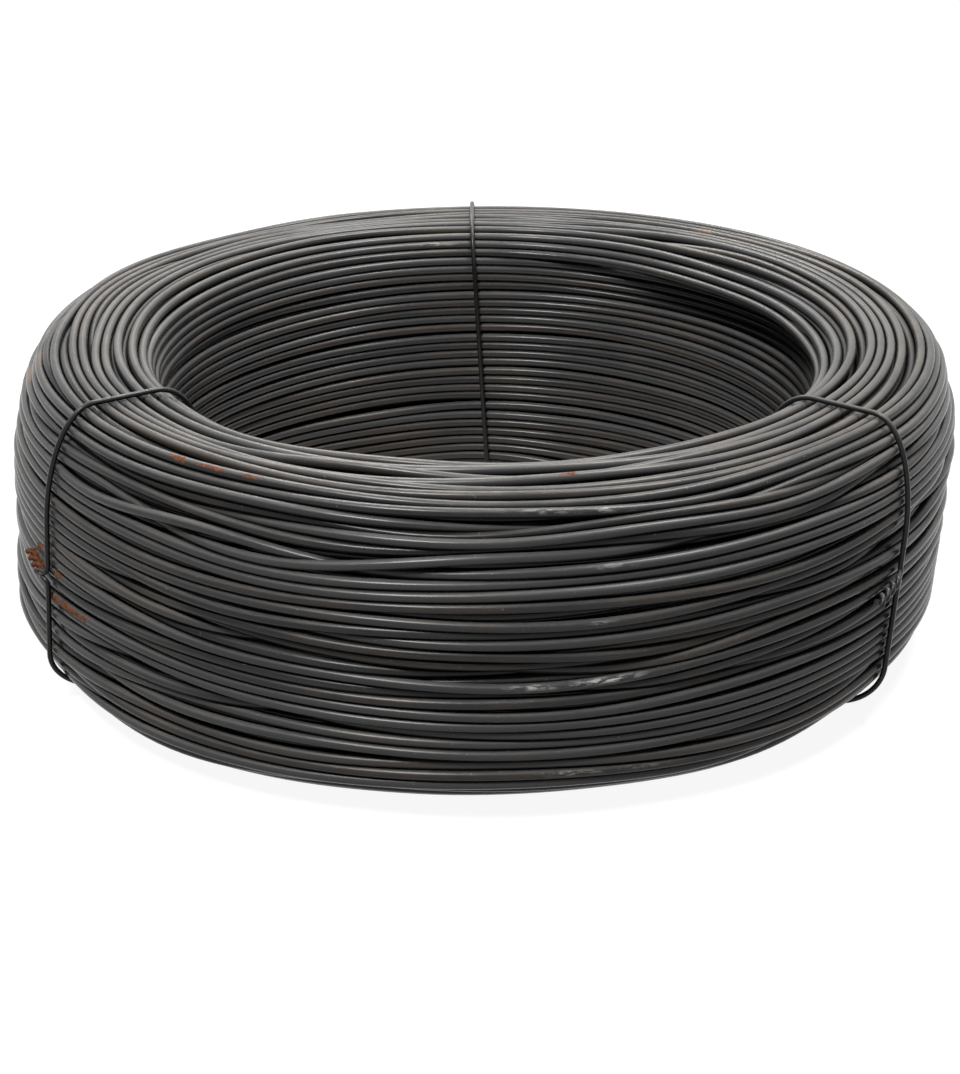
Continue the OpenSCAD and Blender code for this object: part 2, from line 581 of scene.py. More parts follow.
    def window(self, angle: float, half: float) -> np.ndarray:
        """Gives a smooth hump round the ring, 1 at an angle and 0 beyond half degrees from it."""
        return hump(np.degrees(self.theta) - angle, half)

    def lift_near_edge(self, places: np.ndarray) -> None:
        """Heaves up the near edge of the eye, where the top turns ride on each other.

        Args:
            places: the turns' places, changed in place.
        """
        below_top = self.section.top_z - places[..., 1]
        from_eye = places[..., 0] - self.section.eye_r
        slump = self.slump
        high = np.clip(1.0 - below_top / slump.heave_depth, 0.0, 1.0)
        near = np.clip((slump.heave_end - from_eye) / slump.heave_fade, 0.0, 1.0)
        places[..., 1] += slump.heave * self.window(*slump.heave_at)[:, None] * high * near

    def spread_foot(self, places: np.ndarray) -> None:
        """Lets the low outer turns squat outwards on both sides of the front.

        Args:
            places: the turns' places, changed in place.
        """
        slump = self.slump
        low = np.clip(1.0 - (places[..., 1] - self.section.foot_z) / slump.squat_height, 0.0, 1.0)
        from_wall = self.section.outer_r - places[..., 0]
        outside = np.clip(1.0 - (from_wall - slump.squat_full) / slump.squat_fade, 0.0, 1.0)
        around = self.window(*slump.squat_left) + slump.right_share * self.window(*slump.squat_right)
        places[..., 0] += slump.squat * around[:, None] * low * outside

    def sag(self, places: np.ndarray) -> None:
        """Lets the foot turns down to the floor between the ties.

        Args:
            places: the turns' places, changed in place.
        """
        slump = self.slump
        above_foot = places[..., 1] - self.section.foot_z
        low = np.clip(1.0 - above_foot / slump.sag_height, 0.0, 1.0)
        free = 1.0 - self.near_ties(slump.sag_clear)
        places[..., 1] -= slump.sag * low * free[:, None]
        floor = 0.5 * self.wire_d + slump.floor_gap + self.section.foot_z * (1.0 - free)
        places[..., 1] = np.maximum(places[..., 1], floor[:, None])

    def open_air(self, places: np.ndarray, turn: int, around: np.ndarray) -> np.ndarray:
        """Measures how far a turn's skin stands clear of the other turns.

        Args:
            places: the turns' places.
            turn: which turn.
            around: angles round the wire, from its outer side downwards.

        Returns:
            Gaps to the nearest other turn, stations by angles.
        """
        here = places[:, turn]
        far = np.linalg.norm(places - here[:, None], axis=2).min(axis=0)
        near = np.flatnonzero(far < self.air_reach * self.wire_d)
        near = near[near != turn]
        out = np.stack([np.cos(around), -np.sin(around)], axis=-1)
        skin = here[:, None] + 0.5 * self.wire_d * out[None]
        gaps = np.linalg.norm(skin[:, :, None] - places[:, None, near], axis=3) - 0.5 * self.wire_d
        return gaps.min(axis=2, initial=self.wire_d)

    def eased(self, places: np.ndarray) -> np.ndarray:
        """Takes out the bends that are too short for stiff wire.

        Args:
            places: the turns' places.

        Returns:
            The places without the short waves.
        """
        waves = np.fft.rfft(places, axis=0)
        mode = np.arange(len(waves))
        fade = np.clip((self.last_mode - mode) / (self.last_mode - self.smooth_modes), 0.0, 1.0)
        gain = fade * fade * (3 - 2 * fade)
        return np.fft.irfft(waves * gain[:, None, None], n=self.stations, axis=0)

    def neighbours(self, places: np.ndarray) -> tuple[np.ndarray, np.ndarray, np.ndarray]:
        """Lists the pairs of turns that come near each other anywhere.

        Args:
            places: the turns' places.

        Returns:
            First and second turn of each pair, and the matrix that spreads a pair's push over both.
        """
        count = places.shape[1]
        near = np.full((count, count), np.inf)
        for station in range(0, self.stations, 2):
            here = places[station]
            near = np.minimum(near, np.linalg.norm(here[:, None] - here[None], axis=2))
        first, second = np.nonzero(np.triu(near < self.neighbour_reach * self.wire_d, 1))
        spread = np.zeros((len(first), count))
        spread[np.arange(len(first)), first] = 1.0
        spread[np.arange(len(first)), second] = -1.0
        return first, second, spread

    def part_lip(self, places: np.ndarray) -> None:
        """Lets the upper bore turns lean over the eye on one side, away from the wall below them, and paints
        shade on the recessed wall turns.

        Args:
            places: the turns' places, changed in place.
        """
        shape = self.lip
        window = self.window(shape.angle, shape.half)
        middle = places.mean(axis=0)
        below_top = self.section.top_z - middle[:, 1]
        from_eye = middle[:, 0] - self.section.eye_r
        high = below_top < shape.depth
        near = from_eye < shape.width
        lip = np.clip(1.0 - from_eye / shape.fan, 0.0, 1.0) * near * high
        wall = np.clip((shape.recess_end - below_top) / shape.recess_fade, 0.0, 1.0) * ~high
        wall *= from_eye < shape.recess_width
        shelf = np.clip((shape.shelf_end - from_eye) / shape.shelf_fade, 0.0, 1.0) * ~near * high
        outward = shape.recess * wall - shape.reach * lip + shape.shelf_shift * shelf
        # painted shade: the recessed wall turns under the lip get less open air and so a darker colour
        self.painted_lip_shade = 1.0 - shape.shade * window[:, None] * wall[None]
        places[..., 0] += window[:, None] * outward[None]
        places[..., 1] -= window[:, None] * shape.recess_drop * wall[None]


@dataclass(frozen=True)
class Patch:
    """A marked place on the coil: where it is, and its reach along and across the wire."""

    angle: float
    radius: float
    height: float
    along: float
    across: float

    def place(self) -> tuple[float, float, float]:
        """Gives the patch's middle in the frame."""
        turn = math.radians(self.angle)
        return (self.radius * math.cos(turn), self.radius * math.sin(turn), self.height)


class Mark(Enum):
    """What a streak on a turn shows, by the name of its mesh attribute."""

    RUST = "rust_run"
    # bare steel scuffed along a crest, which also paints a sheen on the side that the lamps light
    SCUFF_AND_SHEEN = "scuff_and_sheen_run"


@dataclass(frozen=True)
class Streak:
    """A marked stretch of one turn: the turn that passes nearest a place, and how far the mark runs.

    The tilt says which side of the wire is marked: 0 looks out from the ring, 90 up and 180 into the eye.
    """

    mark: Mark
    angle: float
    radius: float
    height: float
    half_run: float
    tilt: float
    half_round: float = 60.0
    strength: float = 1.0

    def around(self, turn: np.ndarray) -> np.ndarray:
        """Gives the mark's strength at angles round the wire, counted from its outer side downwards."""
        return hump(-np.degrees(turn) - self.tilt, self.half_round)


STREAKS = (
    Streak(Mark.RUST, 212.0, 198 * MM, 48.7 * MM, 18 * MM, 15.0, 90.0),
    Streak(Mark.RUST, 217.0, 198 * MM, 49.4 * MM, 24 * MM, 20.0, 80.0),
    Streak(Mark.RUST, 208.0, 197.8 * MM, 64 * MM, 7 * MM, 20.0, 80.0),
    Streak(Mark.RUST, 210.0, 198 * MM, 59 * MM, 8 * MM, 20.0, 70.0),
    Streak(Mark.RUST, 232.0, 184.3 * MM, 124 * MM, 10 * MM, 55.0),
    Streak(Mark.RUST, 237.0, 184.3 * MM, 124 * MM, 12 * MM, 45.0, 45.0),
    Streak(Mark.RUST, 242.0, 184.3 * MM, 124 * MM, 11 * MM, 45.0, 40.0),
    Streak(Mark.RUST, 279.5, 166.5 * MM, 124.3 * MM, 9 * MM, 70.0, 60.0, 0.8),
    # scuffs lie on the upper side of the wires, where the lamps' highlight falls: worn oxide with a painted
    # sheen
    Streak(Mark.SCUFF_AND_SHEEN, 276.0, 187 * MM, 121 * MM, 18 * MM, 48.0, 40.0, 0.35),
    Streak(Mark.SCUFF_AND_SHEEN, 282.5, 189 * MM, 117.5 * MM, 10 * MM, 45.0, 40.0, 0.4),
    Streak(Mark.SCUFF_AND_SHEEN, 283.0, 195.7 * MM, 102.5 * MM, 10 * MM, 42.0, 35.0, 0.35),
    Streak(Mark.SCUFF_AND_SHEEN, 282.0, 199.2 * MM, 82.4 * MM, 8 * MM, 35.0, 35.0, 0.4),
    Streak(Mark.SCUFF_AND_SHEEN, 275.5, 199.3 * MM, 58.2 * MM, 11 * MM, 35.0, 48.0, 0.8),
    Streak(Mark.SCUFF_AND_SHEEN, 283.0, 199.2 * MM, 58.6 * MM, 18 * MM, 38.0, 48.0),
    Streak(Mark.SCUFF_AND_SHEEN, 280.0, 199 * MM, 22 * MM, 14 * MM, 25.0, 40.0, 0.5),
    Streak(Mark.SCUFF_AND_SHEEN, 288.0, 199 * MM, 21 * MM, 9 * MM, 25.0, 35.0, 0.4),
    Streak(Mark.SCUFF_AND_SHEEN, 100.0, 143 * MM, 116.5 * MM, 16 * MM, 140.0, 40.0, 0.35),
)
KNOT_RUST = (
    Patch(208.0, 203 * MM, 61 * MM, 15 * MM, 12 * MM),
)
SPOT_RUST = (
    Patch(210.5, 199 * MM, 70 * MM, 4 * MM, 3 * MM),
    Patch(213.5, 199 * MM, 61 * MM, 4 * MM, 3 * MM),
)
STAIN_PATCHES = (
    Patch(188.5, 192 * MM, 117 * MM, 16 * MM, 10 * MM),
    Patch(52.0, 176 * MM, 127 * MM, 9 * MM, 3 * MM),
)


@dataclass(frozen=True)
class Noise:
    """A noise pattern: its scale, its detail and the roughness of that."""

    scale: float
    detail: float = 3.0
    rough: float = 0.55


CLOUDS = Noise(22.0, 4.0, 0.6)
GRAIN = Noise(900.0, 2.0)
DRAWN_STREAKS = Noise(6.0, 4.0, 0.6)
HAIRLINES = Noise(3.0, 3.0, 0.6)
FLAKES = Noise(5.0, 4.0, 0.65)
FINE_FLAKES = Noise(420.0, 4.0, 0.7)
TORN_EDGES = Noise(6.0, 4.0, 0.65)
SKIN_RELIEF = Noise(1400.0, 3.0)
STREAK_STRETCH = (14.0, 5.0, 1.0)
HAIR_STRETCH = (90.0, 26.0, 1.0)
WORN_STRETCH = (30.0, 1.6, 1.0)


class NodeBench:
    """Lays nodes into one material and links them."""

    def __init__(self, name: str) -> None:
        """Starts an empty node material.

        Args:
            name: the material's name.
        """
        self.material = bpy.data.materials.new(name)
        self.material.use_nodes = True
        self.tree = self.material.node_tree
        self.tree.nodes.clear()

    def add(self, kind: str, settings: dict | None = None, **sockets: object) -> bpy.types.Node:
        """Adds a node.

        Args:
            kind: the node's type.
            settings: properties of the node itself.
            sockets: input values or links, by socket name with spaces as underscores, or in0, in1 by place.

        Returns:
            The node.
        """
        node = self.tree.nodes.new(kind)
        for key, value in (settings or {}).items():
            setattr(node, key, value)
        for key, value in sockets.items():
            place = int(key[2:]) if key[:2] == "in" and key[2:].isdigit() else key.replace("_", " ")
            socket = node.inputs[place]
            if isinstance(value, Socket):
                self.tree.links.new(value, socket)
            else:
                socket.default_value = value
        return node

    def noise(self, vector: Socket, noise: Noise) -> Socket:
        """Adds a noise pattern and returns its value socket."""
        look = {"Scale": noise.scale, "Detail": noise.detail, "Roughness": noise.rough}
        return self.add("ShaderNodeTexNoise", Vector=vector, **look).outputs["Fac"]

    def ramp(
        self, value: Socket, low: float, high: float, to_low: float = 0.0, to_high: float = 1.0
    ) -> Socket:
        """Maps a value smoothly from one range to another.

        Args:
            value: what is mapped.
            low: start of its range.
            high: end of its range.
            to_low: what the start becomes.
            to_high: what the end becomes.

        Returns:
            The mapped value's socket.
        """
        node = self.add(
            "ShaderNodeMapRange",
            {"interpolation_type": "SMOOTHSTEP"},
            Value=value,
            From_Min=low,
            From_Max=high,
            To_Min=to_low,
            To_Max=to_high,
        )
        return node.outputs["Result"]

    def math(self, operation: str, first: object, second: object) -> Socket:
        """Joins two values and returns the socket."""
        return self.add("ShaderNodeMath", {"operation": operation}, in0=first, in1=second).outputs[0]

    def average(self, first: Socket, second: Socket) -> Socket:
        """Takes the middle of two values and returns the socket."""
        return self.math("MULTIPLY", self.math("ADD", first, second), 0.5)

    def mix(self, share: object, first: object, second: object) -> Socket:
        """Mixes two colours.

        Args:
            share: how much of the second, a value or a link.
            first: a colour or a link.
            second: a colour or a link.

        Returns:
            The mixed colour's socket.
        """
        node = self.add("ShaderNodeMix", {"data_type": "RGBA"})
        for place, value in ((0, share), (6, first), (7, second)):
            if isinstance(value, Socket):
                self.tree.links.new(value, node.inputs[place])
            else:
                node.inputs[place].default_value = value
        return node.outputs[2]

    def attribute(self, name: str) -> Socket:
        """Reads a named value of the mesh and returns the socket."""
        return self.add("ShaderNodeAttribute", {"attribute_name": name}).outputs["Fac"]

    def patches(
        self, place: Socket, patches: tuple[Patch, ...], core: float = 0.25, depth: float = 3.0
    ) -> Socket:
        """Builds a mask of the given patches, 1 in their middles.

        Args:
            place: object coordinates.
            patches: the marked places.
            core: share of a patch that is marked fully.
            depth: reach into the coil, in reaches across.

        Returns:
            The mask's socket.
        """
        total = None
        for patch in patches:
            local = self.add(
                "ShaderNodeMapping",
                {"vector_type": "TEXTURE"},
                Vector=place,
                Location=patch.place(),
                Rotation=(0.0, 0.0, math.radians(patch.angle + 90.0)),
                Scale=(patch.along, depth * patch.across, patch.across),
            )
            far = self.add("ShaderNodeVectorMath", {"operation": "LENGTH"}, in0=local.outputs[0])
            mask = self.ramp(far.outputs["Value"], core, 1.0, 1.0, 0.0)
            total = mask if total is None else self.math("MAXIMUM", total, mask)
        return total

    def finish(self, shader: Socket) -> bpy.types.Material:
        """Links the shader to the output and returns the material."""
        self.add("ShaderNodeOutputMaterial", Surface=shader)
        return self.material


class WireMaps:
    """The patterns that a wire's finish is mixed from, each a socket."""

    def __init__(self, bench: NodeBench) -> None:
        """Lays the patterns' nodes.

        Args:
            bench: the material that they go into.
        """
        self.place = bench.add("ShaderNodeTexCoord").outputs["Object"]
        normal = bench.add("ShaderNodeNewGeometry").outputs["Normal"]
        self.up = bench.add("ShaderNodeSeparateXYZ", Vector=normal).outputs["Z"]
        along = bench.add("ShaderNodeUVMap", {"uv_map": WIRE_MAP}).outputs["UV"]
        stretched = bench.add("ShaderNodeMapping", Vector=along, Scale=STREAK_STRETCH).outputs[0]
        drawn = bench.add("ShaderNodeMapping", Vector=along, Scale=HAIR_STRETCH).outputs[0]
        self.worn = bench.add("ShaderNodeMapping", Vector=along, Scale=WORN_STRETCH).outputs[0]
        self.tone = bench.attribute("turn_tone")
        self.hue = bench.math("FRACT", bench.math("MULTIPLY", self.tone, TONE_TO_HUE), 0.0)
        self.cloud = bench.noise(self.place, CLOUDS)
        self.grain = bench.noise(self.place, GRAIN)
        self.streak = bench.noise(stretched, DRAWN_STREAKS)
        self.hair = bench.noise(drawn, HAIRLINES)
        self.film = bench.average(self.cloud, self.hair)


@dataclass(frozen=True)
class WireFinish:
    """Dark annealed steel: a thin oxide skin with drawn streaks, worn spots that carry a painted sheen,
    dust, a little rust and painted shade in the narrow gaps between turns.
    """

    name: str
    dark: Colour
    light: Colour
    warm: Colour
    rust: Colour = (0.21, 0.068, 0.024, 1.0)
    old_rust: Colour = (0.080, 0.038, 0.024, 1.0)
    stain: Colour = (0.20, 0.145, 0.105, 1.0)
    # pale worn steel, which also stands in for a painted sheen
    bare_and_sheen: Colour = (0.66, 0.65, 0.62, 1.0)
    dust: Colour = (0.30, 0.29, 0.27, 1.0)
    # near-black painted shade for the narrow gaps between turns
    painted_gap_shade: Colour = (0.006, 0.006, 0.006, 1.0)
    painted_shade_reach: float = 1.4 * MM
    coiled: bool = True
    metallic: float = 0.12
    specular: float = 0.17
    rough_low: float = 0.18
    rough_high: float = 0.30
    rough_up: float = 0.16
    rough_rust: float = 0.85
    streak_share: float = 0.5
    brown_share: float = 0.7
    fleck_share: float = 0.45
    hue_share: float = 0.2
    hair_share: float = 0.6
    flaking: float = 0.45
    tone_share: tuple[float, float] = (0.05, 0.5)
    dust_share: tuple[float, float] = (0.10, 0.34)
    stain_share: tuple[float, float] = (0.3, 0.9)
    shade_range: tuple[float, float] = (0.2, 0.85)
    brown_range: tuple[float, float] = (0.56, 0.76)
    film_range: tuple[float, float] = (0.35, 0.65)
    rough_range: tuple[float, float] = (0.3, 0.7)
    fleck_range: tuple[float, float] = (0.70, 0.76)
    flake_range: tuple[float, float] = (0.2, 0.8)
    stain_range: tuple[float, float] = (0.38, 0.62)
    rust_grain: tuple[float, float] = (0.38, 0.66)
    rust_edge: tuple[float, float] = (0.38, 0.60)
    scuff_and_sheen_edge: tuple[float, float] = (0.46, 0.58)
    dust_up: tuple[float, float] = (0.35, 1.0)
    fleck_up: tuple[float, float] = (-0.3, 0.6)
    rough_from: tuple[float, float] = (0.5, 1.0)
    skin_relief: float = 0.16
    skin_depth: float = 0.05 * MM
    rusts: tuple[Patch, ...] = ()
    stains: tuple[Patch, ...] = ()

    def oxide(self, bench: NodeBench, maps: WireMaps) -> Socket:
        """Mixes the oxide skin: lighter and darker turns and streaks, some of them brownish.

        Args:
            bench: the material.
            maps: its patterns.

        Returns:
            The skin's colour.
        """
        streaks = bench.math("MULTIPLY", maps.streak, self.streak_share)
        shade = bench.math("ADD", streaks, bench.ramp(maps.tone, 0.0, 1.0, *self.tone_share))
        base = bench.mix(bench.ramp(shade, *self.shade_range), self.dark, self.light)
        clouds = bench.average(maps.streak, maps.cloud)
        brown = bench.math("ADD", clouds, bench.math("MULTIPLY", maps.hue, self.hue_share))
        return bench.mix(bench.ramp(brown, *self.brown_range, 0.0, self.brown_share), base, self.warm)

    def dusted(self, bench: NodeBench, maps: WireMaps, base: Socket) -> Socket:
        """Lays dust on what faces up, painted shade in the narrow gaps and pale flecks over both.

        Args:
            bench: the material.
            maps: its patterns.
            base: the colour underneath.

        Returns:
            The dusted colour.
        """
        film = bench.ramp(maps.film, *self.film_range, *self.dust_share)
        base = bench.mix(bench.math("MULTIPLY", film, bench.ramp(maps.up, *self.dust_up)), base, self.dust)
        if self.coiled:
            # painted shade: the skin goes towards the near-black colour where it lies close to another turn
            air = bench.ramp(bench.attribute("open_air"), 0.0, self.painted_shade_reach)
            base = bench.mix(air, self.painted_gap_shade, base)
        fleck = bench.ramp(maps.grain, *self.fleck_range, 0.0, self.fleck_share)
        return bench.mix(bench.math("MULTIPLY", fleck, bench.ramp(maps.up, *self.fleck_up)), base, self.dust)

    def rusted(self, bench: NodeBench, maps: WireMaps) -> Socket:
        """Spreads rust over its patches, and along the turns that carry it, with broken edges.

        Args:
            bench: the material.
            maps: its patterns.

        Returns:
            How rusty the skin is.
        """
        where = bench.patches(maps.place, self.rusts)
        if self.coiled:
            where = bench.math("MAXIMUM", where, bench.attribute(Mark.RUST.value))
        flakes = bench.average(bench.noise(maps.worn, FLAKES), bench.noise(maps.place, FINE_FLAKES))
        flakes = bench.ramp(flakes, *self.flake_range, -self.flaking, self.flaking)
        return bench.ramp(bench.math("ADD", where, flakes), *self.rust_edge)

    def material(self) -> bpy.types.Material:
        """Builds the finish.

        Returns:
            The node material.
        """
        bench = NodeBench(self.name)
        maps = WireMaps(bench)
        base = self.dusted(bench, maps, self.oxide(bench, maps))
        rough = bench.ramp(maps.film, *self.rough_range, self.rough_low, self.rough_high)
        rough = bench.math("ADD", rough, bench.ramp(maps.up, *self.rough_from, 0.0, self.rough_up))
        metal = None
        if self.stains:
            dull = bench.ramp(bench.average(maps.grain, maps.cloud), *self.stain_range, *self.stain_share)
            stained = bench.math("MULTIPLY", bench.patches(maps.place, self.stains), dull)
            base = bench.mix(stained, base, self.stain)
        if self.coiled:
            # worn bare steel along some crests, partly a painted highlight
            torn = bench.ramp(bench.noise(maps.worn, TORN_EDGES), *self.scuff_and_sheen_edge)
            scuffed_and_sheen = bench.math("MULTIPLY", bench.attribute(Mark.SCUFF_AND_SHEEN.value), torn)
            base = bench.mix(scuffed_and_sheen, base, self.bare_and_sheen)
        if self.rusts:
            rusty = self.rusted(bench, maps)
            rust = bench.mix(bench.ramp(maps.grain, *self.rust_grain), self.old_rust, self.rust)
            base = bench.mix(rusty, base, rust)
            metal = bench.ramp(rusty, 0.0, 1.0, self.metallic, 0.0)
            rough = bench.math("MAXIMUM", rough, bench.math("MULTIPLY", rusty, self.rough_rust))
        hair = bench.math("MULTIPLY", maps.hair, self.hair_share)
        skin = bench.math("ADD", hair, bench.noise(maps.place, SKIN_RELIEF))
        bump = bench.add("ShaderNodeBump", Strength=self.skin_relief, Distance=self.skin_depth, Height=skin)
        shader = bench.add(
            "ShaderNodeBsdfPrincipled",
            Base_Color=base,
            Roughness=rough,
            Metallic=self.metallic if metal is None else metal,
            Specular_IOR_Level=self.specular,
            Normal=bump.outputs[0],
        )
        return bench.finish(shader.outputs[0])


@dataclass(frozen=True)
class PaperFinish:
    """The pale ground under the coil, which keeps the coil's soft shadow."""

    name: str = "pale_floor"
    colour: Colour = (0.16, 0.16, 0.16, 1.0)
    glow_near: float = 0.92
    glow_far: float = 1.0
    near: float = 0.25
    far: float = 0.8

    def material(self) -> bpy.types.Material:
        """Builds the floor's finish.

        Returns:
            The node material.
        """
        bench = NodeBench(self.name)
        shader = bench.add("ShaderNodeBsdfDiffuse", Color=self.colour)
        place = bench.add("ShaderNodeTexCoord").outputs["Object"]
        away = bench.add("ShaderNodeVectorMath", {"operation": "LENGTH"}, in0=place).outputs["Value"]
        level = bench.ramp(away, self.near, self.far, self.glow_near, self.glow_far)
        path = bench.add("ShaderNodeLightPath")
        seen = bench.math("MAXIMUM", path.outputs["Is Camera Ray"], path.outputs["Is Transmission Ray"])
        seen = bench.math("MAXIMUM", seen, path.outputs["Is Glossy Ray"])
        glow = bench.add("ShaderNodeEmission", Strength=bench.math("MULTIPLY", seen, level))
        both = bench.add("ShaderNodeAddShader", in0=shader.outputs[0], in1=glow.outputs[0])
        return bench.finish(both.outputs[0])


def ring_quads(rows: int, columns: int) -> np.ndarray:
    """Lists the faces of a grid of vertices that closes both ways.

    Args:
        rows: vertices round the ring.
        columns: vertices round the tube.

    Returns:
        Faces by 4.
    """
    i, k = np.meshgrid(np.arange(rows), np.arange(columns), indexing="ij")
    corners = [(i + di) % rows * columns + (k + dk) % columns for di, dk in FACE_CORNERS]
    return np.stack(corners, axis=-1).reshape(-1, 4)


def tube_mesh(
    name: str, paths: np.ndarray, radius: float, tones: np.ndarray, skins: dict[str, list[np.ndarray]]
) -> bpy.types.Object:
    """Joins closed round tubes into one mesh with a wire map, a tone for each turn and values on its skin.

    Args:
        name: name of the piece.
        paths: centre lines, turns by stations by 3.
        radius: radius of the wire.
        tones: one value from 0 to 1 for each turn.
        skins: by attribute, for each turn its values, stations by facets round the tube.

    Returns:
        The new object.
    """
    verts, quads, maps, shades = [], [], [], []
    base = 0
    for path, skin, tone in zip(paths, skins["open_air"], tones):
        stations, count = skin.shape
        ahead = np.roll(path, -1, axis=0)
        along = ahead - np.roll(path, 1, axis=0)
        along /= np.linalg.norm(along, axis=1, keepdims=True)
        out = path * (1.0, 1.0, 0.0)
        out -= np.sum(out * along, axis=1, keepdims=True) * along
        out /= np.linalg.norm(out, axis=1, keepdims=True)
        up = np.cross(along, out)
        turn = TAU * np.arange(count) / count
        ring = out[:, None] * np.cos(turn)[None, :, None] + up[:, None] * np.sin(turn)[None, :, None]
        verts.append((path[:, None] + radius * ring).reshape(-1, 3))
        run = np.concatenate([[0.0], np.cumsum(np.linalg.norm(ahead - path, axis=1))])
        run += tone * TONE_SHIFT
        quads.append(base + ring_quads(stations, count))
        i, k = np.meshgrid(np.arange(stations), np.arange(count), indexing="ij")
        corners = [np.stack([run[i + di], (k + dk) / count], axis=-1) for di, dk in FACE_CORNERS]
        maps.append(np.stack(corners, axis=2).reshape(-1, 2))
        shades.append(np.full(stations * count, tone))
        base += stations * count
    values = {key: np.concatenate([skin.ravel() for skin in turns]) for key, turns in skins.items()}
    values["turn_tone"] = np.concatenate(shades)
    return joined_mesh(name, np.concatenate(verts), np.concatenate(quads), np.concatenate(maps), values)


def joined_mesh(
    name: str, verts: np.ndarray, quads: np.ndarray, maps: np.ndarray, values: dict[str, np.ndarray]
) -> bpy.types.Object:
    """Makes a smooth mesh object from arrays.

    Args:
        name: name of the piece.
        verts: vertices by 3.
        quads: faces by 4.
        maps: wire map, one pair for each face corner in turn.
        values: named attributes, one value for each vertex.

    Returns:
        The new object, at the origin.
    """
    mesh = bpy.data.meshes.new(name)
    mesh.vertices.add(len(verts))
    mesh.vertices.foreach_set("co", verts.astype(np.float32).ravel())
    mesh.loops.add(quads.size)
    mesh.loops.foreach_set("vertex_index", quads.astype(np.int32).ravel())
    mesh.polygons.add(len(quads))
    mesh.polygons.foreach_set("loop_start", np.arange(0, quads.size, 4, dtype=np.int32))
    mesh.uv_layers.new(name=WIRE_MAP).data.foreach_set("uv", maps.astype(np.float32).ravel())
    for key, value in values.items():
        mesh.attributes.new(key, "FLOAT", "POINT").data.foreach_set("value", value.astype(np.float32))
    mesh.update(calc_edges=True)
    mesh.shade_smooth()
    piece = bpy.data.objects.new(name, mesh)
    bpy.context.collection.objects.link(piece)
    return piece


def leant(points: np.ndarray, section: RingSection, lean: float) -> np.ndarray:
    """Leans points to the right with height, as the coil slumps on its foot.

    Args:
        points: any array of x, y, z.
        section: the ring's section, whose middle height stays put.
        lean: shift per height.

    Returns:
        The moved points.
    """
    moved = points.copy()
    moved[..., 0] += lean * (points[..., 2] - 0.5 * (section.foot_z + section.top_z))
    return moved


